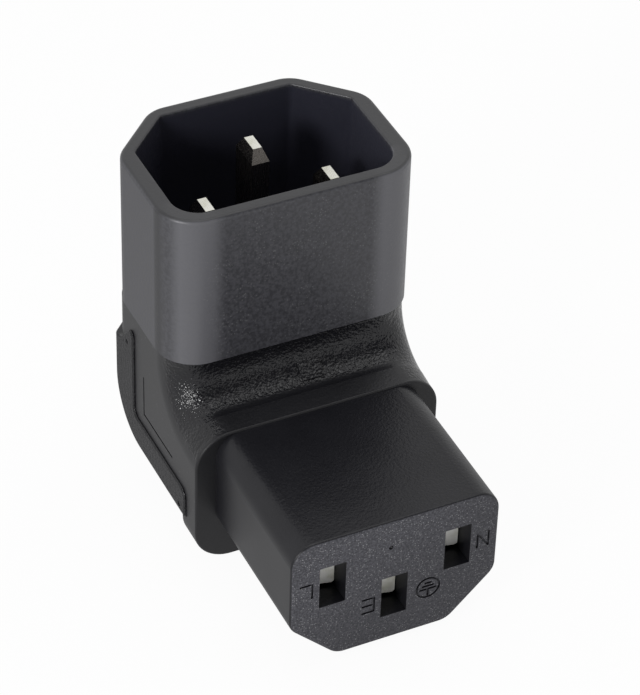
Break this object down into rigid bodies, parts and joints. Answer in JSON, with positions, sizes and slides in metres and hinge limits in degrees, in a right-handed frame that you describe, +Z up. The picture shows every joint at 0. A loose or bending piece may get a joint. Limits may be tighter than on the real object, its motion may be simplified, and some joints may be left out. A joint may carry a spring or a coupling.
{
  "type": "right-angle mains power adapter",
  "caption": "Black moulded right-angle power adapter: male appliance inlet looking up, female outlet nose looking forward, pebbled elbow between them.",
  "frame": {"origin": "middle of the footprint, on the plane that the heel pad rests on", "axes": "+Z up along the inlet's opening, -Y forward out of the outlet's face, +X to the right seen from the outlet's front"},
  "size_m": [0.0284, 0.0446, 0.0405],
  "materials": {
    "shroud_plastic": "fine matte grain, charcoal",
    "outlet_plastic": "fine speckled grain, charcoal",
    "overmould_vinyl": "pebbled semi-gloss black vinyl",
    "insert_plastic": "plain moulded",
    "core_plastic": "plain moulded",
    "pin_nickel": "bright nickel plate on brass",
    "contact_nickel": "nickel plate on brass strip",
    "copper_core": "bare copper strands",
    "line_sleeve": "brown vinyl",
    "neutral_sleeve": "blue vinyl",
    "earth_sleeve": "green and yellow vinyl"
  },
  "bodies": {
    "root": {"earth_conductor": "copper_core", "earth_contact": "contact_nickel", "earth_insulation": "earth_sleeve", "earth_pin": "pin_nickel", "elbow_overmould": "overmould_vinyl", "inlet_shroud": "shroud_plastic", "inner_mould": "core_plastic", "line_conductor": "copper_core", "line_contact": "contact_nickel", "line_insulation": "line_sleeve", "line_pin": "pin_nickel", "neutral_conductor": "copper_core", "neutral_contact": "contact_nickel", "neutral_insulation": "neutral_sleeve", "neutral_pin": "pin_nickel", "outlet_block": "outlet_plastic", "outlet_rear_cap": "insert_plastic", "pin_bridge": "insert_plastic"}
  },
  "joints": []
}
